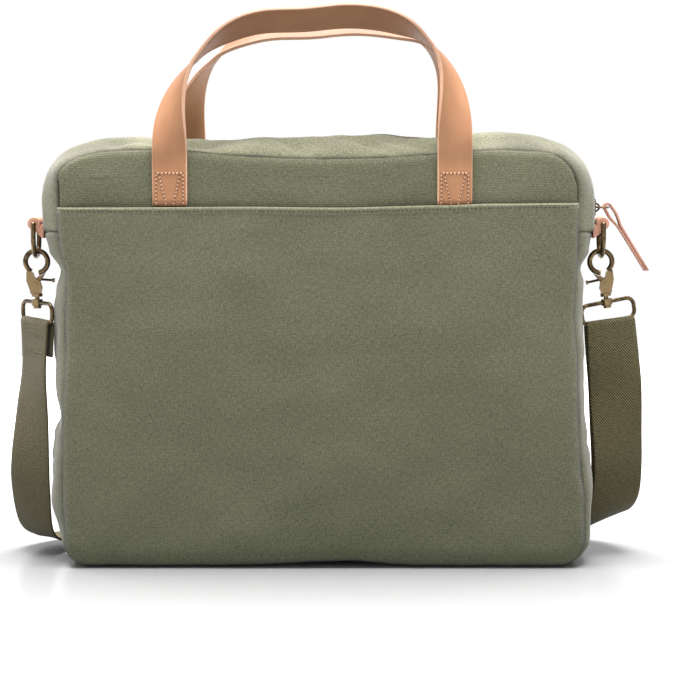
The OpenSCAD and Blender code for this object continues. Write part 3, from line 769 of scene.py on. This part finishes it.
def zip_teeth(name, side, z0, z1, pitch=2.1, r=49.0):
    """Coil teeth: one small rounded loop beside another, each reaching a little past the middle line."""
    path = crest_path(SEAM_Z + 2, 1.0)
    pts = [at_radius(e, r + 1.0) for e in path]
    lengths = path_lengths(pts)
    verts, faces = [], []
    s, k = pitch / 2 + (pitch / 2 if side > 0 else 0.0), 0
    while s < lengths[-1]:
        while lengths[k + 1] < s:
            k += 1
        t = (s - lengths[k]) / (lengths[k + 1] - lengths[k])
        x, z = (pts[k][i] + (pts[k + 1][i] - pts[k][i]) * t for i in (0, 1))
        dx, dz = pts[k + 1][0] - pts[k][0], pts[k + 1][1] - pts[k][1]
        d = hypot(dx, dz)
        dx, dz = dx / d, dz / d
        nx, nz = -dz, dx
        s += pitch
        if not z0 <= z <= z1:
            continue
        base = len(verts)
        for y, half, top in ((0.25, 0.42, 0.45), (0.7, 0.62, 0.75), (2.4, 0.62, 0.8), (3.1, 0.5, 0.4)):
            for a, h in ((-half, -0.8), (half, -0.8), (half, top * 0.7), (0, top), (-half, top * 0.7)):
                verts.append((x + dx * a + nx * h, side * y, z + dz * a + nz * h))
        for ring in range(3):
            for j in range(5):
                a, b = base + ring * 5 + j, base + ring * 5 + (j + 1) % 5
                faces.append((a, b, b + 5, a + 5))
        faces += [tuple(range(base, base + 5))[::-1], tuple(range(base + 15, base + 20))]
    return piece(name, verts, faces, ["coil"])


def build_zip():
    place(zip_tape("rear_zip_tape_cloth", 1), "root", "zip_tape", "rear_zip_tape")
    tape = zip_tape("front_zip_tape_cloth", -1)
    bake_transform(tape)
    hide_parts("front_zip_tape")
    for name, side, z0, z1, body, node in (
            ("rear_zip_coil", 1, SEAM_Z + 3, CREST_Z, "root", "rear_zip_teeth"),
            ("front_zip_coil", -1, LID_Z + 1, CREST_Z, "front_lid", "front_zip_teeth"),
            ("zip_end_coil", -1, SEAM_Z + 3, LID_Z, "root", "zip_ends")):
        place(zip_teeth(name, side, z0, z1), body, "zip_teeth", node)


build_zip()


# ---- inside: lining over foam and the divider ----


def quilted_board(name, x0, x1, y0, y1, z0, z1, r, seed):
    """A padded board: rounded outline, soft rounded rim, slightly uneven faces."""
    cx, cy, cz, half = (x0 + x1) / 2, (y0 + y1) / 2, (z0 + z1) / 2, (y1 - y0) / 2
    # How far each ring is drawn in towards the middle, and how far out of the board's middle plane
    levels = [(1.0, 0.0), (0.999, 0.45), (0.996, 0.75), (0.988, 1.0), (0.95, 1.12), (0.85, 1.15),
              (0.6, 1.2), (0.3, 1.2)]
    rings = []
    for k, h in [(k, -h) for k, h in levels[::-1]] + levels[1:]:
        ring = []
        for px, pz in rounded_box(x0, x1, z0, z1, r, 10):
            x, z = cx + (px - cx) * k, cz + (pz - cz) * k
            bump = 0.8 * soft_noise(x, z, 60.0, seed) * (1 - k)
            ring.append((x, cy + half * h / 1.2 + copysign(1, h or 1) * bump, z))
        rings.append(ring)
    return closed_strip(name, rings, [[(x, z) for x, _, z in ring] for ring in rings], ["lining"])


def build_inside():
    # Piece, the CAD node it follows, how far its box moves in y0, y1, z0 and z1, corner, seed, fill
    for name, node, move, r, seed, fill, *more in (
            ("front_lining_pad", "front_padding", (0.3, 0.6, 4, 0), 30, 5.0, 0.5, "front_lining"),
            ("back_lining_pad", "back_padding", (-0.6, -0.3, 4, -3), 30, 9.0, 0.5, "back_lining"),
            ("divider_pad", "laptop_divider", (0, 0, 0, 0), 14, 13.0, 0.6)):
        low, high = box_mm(node)
        ends = [v + d for v, d in zip((low[1], high[1], low[2], high[2]), move)]
        obj = quilted_board(name, low[0], high[0], *ends, r, seed)
        place(obj, "root", "lining", node, *more)


build_inside()


# ---- leather handles ----

BAND_W, BAND_T = 25.0, 3.0
FOOT_Z = 252.0


def handle_place(node):
    """Middle of a handle and half the distance between its two legs."""
    low, high = box_mm(node)
    return (low[0] + high[0]) / 2, (high[0] - low[0]) / 2 - BAND_W / 2


HANDLE_HALF = handle_place("front_handle_ends")[1]
PATCH_TOP = box_mm("front_handle_ends")[1][2]
LEAN_BASE, ARCH_BASE, LEFT_POWER, RIGHT_POWER, TOP_TWIST, LEAN = 304.0, 311.0, 2.3, 3.1, 130.0, 23.4


def handle_frames(top, side, foot, cx, half, count=150):
    """Middle line, width direction and face direction along a handle, from one sewn end to the other."""
    leg = [foot + (ARCH_BASE - foot) * k / 9 for k in range(9)]
    line = [(-half, z) for z in leg]
    for k in range(count + 1):
        a = pi * k / count
        c, s = cos(a), sin(a)
        power = LEFT_POWER if c > 0 else RIGHT_POWER
        x = -copysign(half * abs(c) ** (2 / power), c)
        dip = 3.6 * bell(x * HANDLE_HALF / half + 10, 26.0)
        line.append((x, ARCH_BASE + (top - ARCH_BASE) * abs(s) ** (2 / power) - dip))
    line += [(half, z) for z in leg[::-1]]
    frames = []
    n = len(line)
    for i, (x, z) in enumerate(line):
        p, q = line[max(0, i - 1)], line[min(n - 1, i + 1)]
        d = Vector((q[0] - p[0], 0, q[1] - p[1])).normalized()
        left = i < n / 2
        z0, z1 = (LEAN_BASE, 367.0) if left else (312.0, 378.0)
        if z < z1:
            twist = 90 * max(0.0, (z - z0) / (z1 - z0))
        else:
            twist = 90 + (TOP_TWIST - 90) * smooth_step((z - z1) / (top - z1))
        a = radians(twist)
        inward = Vector((d.z, 0, -d.x))
        across = inward * cos(a) + Vector((0, side * sin(a), 0))
        flat = across.cross(d)
        y = (abs(FRONT_Y) + BAND_T / 2) - LEAN * smooth_step((z - LEAN_BASE) / (top - LEAN_BASE))
        frames.append((Vector((cx + x, side * y, z)), across, flat, d))
    return frames


def leather_band(name, frames, width, thick, mats, edge_round=0.9, crown=0.25, shift_y=0.0,
                 painted_leg_shade=0.77):
    """A leather strap: polished cut edges, faces very slightly crowned."""
    section = rounded_section(width, thick, edge_round, 6)
    kinds = [1 if abs(p) > width / 2 - edge_round * 0.62 else 0 for p, q in section]
    rows, uvs, tones = [], [], []
    for (c, across, flat, _), s in zip(frames, path_lengths([f[0] for f in frames])):
        row = []
        # Painted shade: the legs darker above the sewn patch, the arch's underside darker, and faces turned
        # up darker against the lamp.
        painted_shade_by_height = 1 - (1 - painted_leg_shade) * smooth_step((c.z - 286) / 14.0)
        under = 0.45 * smooth_step((c.z - 345) / 35.0)
        rise = [flat.z * copysign(1, q) for p, q in section]
        tones.append([painted_shade_by_height * (1 - under * max(0.0, -r) - 0.6 * max(0.0, r)) for r in rise])
        for p, q in section:
            bulge = 0.0
            if abs(q) > 0.3:
                bulge = crown * copysign(1, q) * max(0.0, 1 - (p / (width / 2)) ** 2)
            wobble = 0.12 * noise_at(s / 22.0, p / 20.0, 2.0)
            v = c + across * (p + wobble) + flat * (q + bulge)
            row.append((v.x, v.y + shift_y, v.z))
        rows.append(row)
        uvs.append([(p + (30 if q > 0 else 0), s) for p, q in section])
    return closed_strip(name, rows, uvs, mats, kinds, tones)


def stitch_mesh(points_list, name, mat, radius=0.34, lift=0.12):
    """Short round threads: each from a start point, an end point and the outward direction."""
    verts, faces = [], []
    for a, b, out in points_list:
        a, b, out = Vector(a), Vector(b), Vector(out).normalized()
        d = (b - a).normalized()
        side = d.cross(out).normalized()
        base = len(verts)
        for t, k, up in ((0.0, 0.35, -0.25), (0.14, 0.85, 0.05), (0.5, 1.0, 0.22), (0.86, 0.85, 0.05),
                         (1.0, 0.35, -0.25)):
            c = a + (b - a) * t + out * (lift + up * radius)
            for j in range(6):
                ang = radians(60 * j)
                verts.append(tuple(c + (side * cos(ang) + out * sin(ang)) * radius * k))
        for ring in range(4):
            for j in range(6):
                p, q = base + ring * 6 + j, base + ring * 6 + (j + 1) % 6
                faces.append((p, q, q + 6, p + 6))
        faces += [tuple(range(base, base + 6))[::-1], tuple(range(base + 24, base + 30))]
    return piece(name, verts, faces, [mat])


def stitch_run(a, b, out, pitch=3.4, share=0.72):
    """Stitches along a straight line from a to b."""
    a, b = Vector(a), Vector(b)
    n = max(1, round((b - a).length / pitch))
    gap = (1 - share) / 2
    return [(a + (b - a) * ((k + gap) / n), a + (b - a) * ((k + 1 - gap) / n), out) for k in range(n)]


def patch_stitches(cx, side, y):
    """A box of stitches with a V inside it, and dark marks of painted shade in the holes between them."""
    w, pitch, top, low = 9.6, 2.7, PATCH_TOP - 2.0, FOOT_Z + 3.5
    lines = [((-w, top), (-w, low)), ((w, top), (w, low)), ((-w, top), (w, top)),
             ((-w + 2.2, top - 1.6), (-0.6, low)), ((w - 2.2, top - 1.6), (0.6, low))]
    runs, holes = [], []
    out = (0, side, 0)
    for (xa, za), (xb, zb) in lines:
        a, b = Vector((cx + xa, y, za)), Vector((cx + xb, y, zb))
        runs += stitch_run(a, b, out, pitch, 0.62)
        n = max(1, round((b - a).length / pitch))
        d = (b - a).normalized() * 0.5
        holes += [(a + (b - a) * (k / n) - d, a + (b - a) * (k / n) + d, out) for k in range(n + 1)]
    return runs, holes


def build_handles():
    # Side, body that moves, body it is sewn to, top, sewn ends, foot, shift in y, painted shade on the legs
    for name, side, body, parent, top, ends, foot, shift, painted_leg_shade in (
            ("front_handle_leather", -1, "front_handle", "front_lid", 400.0, "front_handle_ends",
             LID_Z - 1.0, 0.0, 0.77),
            ("rear_handle_leather", 1, "rear_handle", "root", 395.0, "rear_handle_ends",
             FOOT_Z, 1.0, 0.95)):
        middle, half = handle_place(ends)
        frames = handle_frames(top, side, foot, middle, half)
        obj = leather_band(name, frames, BAND_W, BAND_T - 0.2, ["leather", "leather_edge"],
                           shift_y=shift, painted_leg_shade=painted_leg_shade)
        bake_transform(obj)
        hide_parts(body, ends)
        runs, holes = [], []
        face = abs(FRONT_Y) + BAND_T + 0.1
        for leg in (-1, 1):
            more, dots = patch_stitches(middle + leg * half, side, side * face + shift)
            runs += [stitch for stitch in more if min(stitch[0][2], stitch[1][2]) > foot]
            holes += [dot for dot in dots if min(dot[0][2], dot[1][2]) > foot]
        place(stitch_mesh(runs, f"{ends}_stitching", "pale_thread", radius=0.5), parent, "leather")
        # Dark marks of painted shade in the stitch holes.
        place(stitch_mesh(holes, f"{ends}_holes", "hole", radius=0.75, lift=0.0), parent, "leather")


build_handles()


# ---- webbing strap ----

# The strap's middle line from the right loop round behind the case to the left one:
# place in millimetres, then the direction across the webbing
STRAP = [
    ((215.4, -2.4, 175.6), (0.94, 0.34, 0)),
    ((217.6, -1.6, 151), (0.97, 0.24, 0)),
    ((219.8, 0, 127), (0.99, 0.14, 0)),
    ((221.6, 0, 92), (0.95, 0.3, 0)),
    ((222.6, 2, 66), (0.93, 0.36, 0)),
    ((221.6, 9, 44), (0.93, 0.34, 0.05)),
    ((218, 24, 28), (0.88, 0.42, 0.15)),
    ((209, 43, 18), (0.72, 0.63, 0.25)),
    ((186, 59, 9), (0.45, 0.87, 0.2)),
    ((150, 64, 5), (0.15, 0.98, 0.05)),
    ((115, 64, 4), (0, 1, 0)),
    ((0, 64, 4), (0, 1, 0)),
    ((-115, 64, 4), (0, 1, 0)),
    ((-155, 62, 4.8), (-0.15, 0.98, 0.02)),
    ((-187.5, 56, 5.5), (-0.42, 0.9, 0)),
    ((-205.5, 39, 8), (-0.52, 0.85, -0.08)),
    ((-214.5, 21, 21), (-0.7, 0.71, 0)),
    ((-215.5, 5, 52), (-0.79, 0.61, 0)),
    ((-214.5, 0, 76), (-0.79, 0.61, 0)),
    ((-212.5, 0, 110), (-0.68, 0.73, 0)),
    ((-210.6, -0.6, 142), (-0.55, 0.83, 0)),
    ((-209.8, -1.2, 176), (-0.61, 0.79, 0)),
]
WEB_W, WEB_T, LAYER_GAP = 39.4, 1.8, 5.2
STRAP_END = float(len(STRAP) - 1)
TAIL_START = STRAP_END - 0.72


def along(col, s):
    """A smooth curve through the strap's places (col 0) or directions across (col 1)."""
    i = min(int(s), len(STRAP) - 2)
    t = s - i
    a, b, c, d = (Vector(STRAP[max(0, min(len(STRAP) - 1, k))][col]) for k in range(i - 1, i + 3))
    curve = (2 * a - 5 * b + 4 * c - d) * t * t + (3 * b - a - 3 * c + d) * t * t * t
    return (2 * b + (c - a) * t + curve) / 2


def strap_frame(s, offset=0.0):
    """Centre, direction across, direction through and direction along the webbing."""
    d = (along(0, min(s + 0.02, STRAP_END)) - along(0, max(s - 0.02, 0))).normalized()
    across = along(1, s)
    across = (across - d * across.dot(d)).normalized()
    inner = across.cross(d)
    return along(0, s) + inner * offset, across, inner, d


def strap_frames(s0, s1, offset, step=0.1):
    n = max(2, ceil(abs(s1 - s0) / step))
    return [strap_frame(s0 + (s1 - s0) * k / n, offset) for k in range(n + 1)]


def fold_frames(s, up, count=10):
    """Half a turn round a loop's bar at the strap's end: from the main layer to the second one."""
    c, across, inner, _ = strap_frame(s)
    r = LAYER_GAP / 2
    middle = c + inner * r
    out = []
    for k in range(1, count):
        a = pi * k / count
        through = inner * cos(a) - up * sin(a)
        out.append((middle - through * r, across, through, up * cos(a) + inner * sin(a)))
    return out


def webbing(name, frames):
    """Woven webbing with a firm rounded edge and a slightly uneven run."""
    section = rounded_section(WEB_W, WEB_T, WEB_T * 0.42, 8)
    rows, uvs = [], []
    for (c, across, through, _), s in zip(frames, path_lengths([f[0] for f in frames])):
        ripple = 0.35 * noise_at(s / 60.0, 1.0, 8.0)
        row = []
        for p, q in section:
            wave = ripple + 0.3 * noise_at(s / 30.0, p / 18.0, 5.0)
            row.append(tuple(c + across * p + through * (q + wave)))
        rows.append(row)
        uvs.append([(p + 50 + (60 if q > 0 else 0), s) for p, q in section])
    return closed_strip(name, rows, uvs, ["webbing"])


def build_strap():
    right_fold = fold_frames(0.0, -strap_frame(0.0)[3])
    left_fold = fold_frames(STRAP_END, strap_frame(STRAP_END)[3])
    main = right_fold[::-1] + strap_frames(0.0, STRAP_END, 0.0) + left_fold
    main += strap_frames(STRAP_END, TAIL_START, LAYER_GAP)
    obj = webbing("strap_webbing", main)
    place(obj, "shoulder_strap", "webbing", "shoulder_strap", "strap_tail")
    second = strap_frames(0.0, 9.6, LAYER_GAP)
    obj = webbing("strap_second_layer", second)
    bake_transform(obj)
    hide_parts("strap_return_layer")
    low, high = box_mm("adjuster_fold")
    y, z = (low[1] + high[1]) / 2, (low[2] + high[2]) / 2
    line = [(low[0] - 1, z - 1.4), (low[0], z - 0.7), (low[0] + 1.5, z), (high[0] - 3, z + 0.2),
            (high[0] - 1.5, z), (high[0], z - 0.8)]
    across = Vector((0, 1, 0))
    frames = []
    for k, (x, zz) in enumerate(line):
        a, b = line[max(0, k - 1)], line[min(len(line) - 1, k + 1)]
        d = Vector((b[0] - a[0], 0, b[1] - a[1])).normalized()
        frames.append((Vector((x, y, zz)), across, across.cross(d), d))
    place(webbing("adjuster_webbing", frames), "strap_adjuster", "webbing", "adjuster_fold")
    # Two rows of stitches through the turned-back tail, seen on both of its faces
    c, across, inner, d = strap_frame(TAIL_START, LAYER_GAP)
    reach = across * (WEB_W / 2 - 3)
    runs = []
    for shift in (3.0, 17.0):
        for out, depth in ((inner, WEB_T / 2 + 0.1), (-inner, -(WEB_T / 2 + 0.1 + LAYER_GAP))):
            at = c + d * shift + inner * depth
            runs += stitch_run(at - reach, at + reach, out, 3.0)
    place(stitch_mesh(runs, "strap_stitching", "strap_thread"), "shoulder_strap", "webbing")


build_strap()


# ---- side tabs: a folded leather strip round each ring's bar ----


def side_tab(name, side, node):
    low, high = box_mm(node)
    ring_low, ring_high = box_mm(node.replace("side_tab", "d_ring"))
    cx, cz = (ring_low[0] + ring_high[0]) / 2, ring_high[2] - 1.8
    half = (high[1] - low[1]) / 2
    outline = []
    for k in range(17):
        a = radians(205 - 250 * k / 16)
        outline.append((side * 4.6 * cos(a), 0.4 + 4.6 * sin(a)))
    outline += [(-side * 0.2, -4.6), (-side * 3.6, -8.2), (-side * 6.9, -10.5), (-side * 7.4, -3.0),
                (-side * 5.6, -0.2)]
    verts = [(cx + x, y, cz + z) for y in (-half, half) for x, z in outline]
    n = len(outline)
    faces = [(k, (k + 1) % n, (k + 1) % n + n, k + n) for k in range(n)]
    faces += [tuple(range(n))[::-1], tuple(range(n, 2 * n))]
    obj = piece(name, verts, faces, ["rose"], smooth=False)
    bevel = obj.modifiers.new("edges", "BEVEL")
    bevel.width = 0.0006
    bevel.segments = 3
    bevel.limit_method = "ANGLE"
    place(obj, "root", "leather", node)


side_tab("left_tab_leather", -1, "left_side_tab")
side_tab("right_tab_leather", 1, "right_side_tab")


# ---- leather pull on the zip ----


def build_pull():
    """Two plies of leather, open at the top where they go round the wire ring."""
    ring_low, ring_high = box_mm("zip_ring")
    start = Vector((ring_high[0] - 0.6, 0, (ring_low[2] + ring_high[2]) / 2))
    a = radians(-58)
    d, up = Vector((cos(a), 0, sin(a))), Vector((-sin(a), 0, cos(a)))
    across = Vector((0, 1, 0))
    line = [(55.0, 0.85), (44, 0.83), (32, 0.83), (22, 0.85), (16, 1.0), (11, 2.1), (7, 2.75), (3.5, 2.6)]
    back = [(54, -0.85)] + [(u, -v) for u, v in line[1:]]
    line += [(2.6 * cos(b), 2.4 * sin(b)) for b in (radians(90 + 22.5 * k) for k in range(9))]
    pts = [start + d * u + up * v for u, v in line + back[::-1]]
    frames = []
    for k, c in enumerate(pts):
        t = (pts[min(len(pts) - 1, k + 1)] - pts[max(0, k - 1)]).normalized()
        frames.append((c, across, across.cross(t), t))
    obj = leather_band("zip_pull_leather", frames, 10.0, 1.4, ["rose_edge", "rose"], edge_round=0.5,
                       crown=0.1, painted_leg_shade=1.0)
    place(obj, "zip_pull", "leather", "zip_pull")


build_pull()


# ---- the stitch line under the pocket's edge ----


def build_hem_stitches():
    runs = []
    x = -PANEL_W + 5
    while x < PANEL_W - 8:
        ends = [(v, pocket_face(v, HEM_LINE) + 0.25, HEM_LINE + hem_dip(v)) for v in (x, x + 2.2)]
        runs.append((*ends, (0, -1, 0)))
        x += 3.1
    place(stitch_mesh(runs, "hem_stitching", "thread"), "root", "canvas")


build_hem_stitches()


# ---- finishes of the parts shown from the CAD ----

SIDED = {"d_ring": "brass", "hook": "brass", "hook_shank": "brass", "hook_rivet": "brass",
         "hook_spring": "steel", "trigger": "dark_brass", "strap_loop": "brass"}
FINISHES = {f"{side}_{name}": finish for side in ("left", "right") for name, finish in SIDED.items()}
FINISHES.update(strap_adjuster="brass", zip_slider="dark_brass", zip_ring="dark_brass", base_board="board")
for node_name, finish in FINISHES.items():
    data = nodes[node_name].data
    data.materials.clear()
    data.materials.append(M[finish])


# ---- floor, light and camera ----


def studio_floor(name, near, far, rough):
    """A sweep of satin board with painted light: dark near the case, painted paler away from it where the
    lamp's light falls off.
    """
    m = Mat(name)
    fine = m.noise(30, m.where, 2.0, 0.5)
    distance = m.add("ShaderNodeVectorMath", {0: m.where}, operation="LENGTH")
    colour = m.ramp(distance.outputs["Value"], [(0.36, near), (0.8, far)])
    return m.set(color=colour, rough=m.plus(rough, m.times(fine, 0.05)), spec=0.35)


FLOOR_HALF = 1.4
corners = [(x * FLOOR_HALF, y * FLOOR_HALF, 0) for x, y in ((-1, -1), (1, -1), (1, 1), (-1, 1))]
floor_mesh = bpy.data.meshes.new("floor")
floor_mesh.from_pydata(corners, [], [(0, 1, 2, 3)])
# Painted light: dark and slightly tinted against the lamp's pink near the case, pale far from it.
floor_mesh.materials.append(studio_floor("studio_floor", (0.225, 0.24, 0.233), (0.9, 0.9, 0.9), 0.22))
floor = add_object("floor", floor_mesh)
floor.location.z = -0.0004

light = bpy.data.lights.new("overhead", "AREA")
light.shape = "RECTANGLE"
light.size, light.size_y = 1.6, 1.0
light.energy = 180
light.color = (1.0, 0.94, 0.97)
lamp = add_object("overhead", light)
lamp.location = (0.0, 0.05, 1.7)
lamp.rotation_euler = (Vector((0, 0, 0.25)) - lamp.location).to_track_quat("-Z", "Y").to_euler()

world = bpy.data.worlds.new("studio")
bpy.context.scene.world = world
world.use_nodes = True
background = world.node_tree.nodes["Background"]
background.inputs[0].default_value = (1, 1, 1, 1)
background.inputs[1].default_value = 1.0

camera_data = bpy.data.cameras.new("camera")
camera = add_object("camera", camera_data)
bpy.context.scene.camera = camera
target = Vector((0.023, -0.041, 0.160))
elevation, distance, half_view = radians(6.0), 1.45, 0.2515
camera.location = target + Vector((0, -cos(elevation), sin(elevation))) * distance
camera.rotation_euler = (target - camera.location).to_track_quat("-Z", "Y").to_euler()
camera_data.sensor_fit = "VERTICAL"
camera_data.sensor_width = camera_data.sensor_height = 36.0
camera_data.lens = camera_data.sensor_width / 2 * distance / half_view
camera_data.clip_end = 100

scene = bpy.context.scene
scene.view_settings.view_transform = "Standard"
scene.view_settings.look = "None"
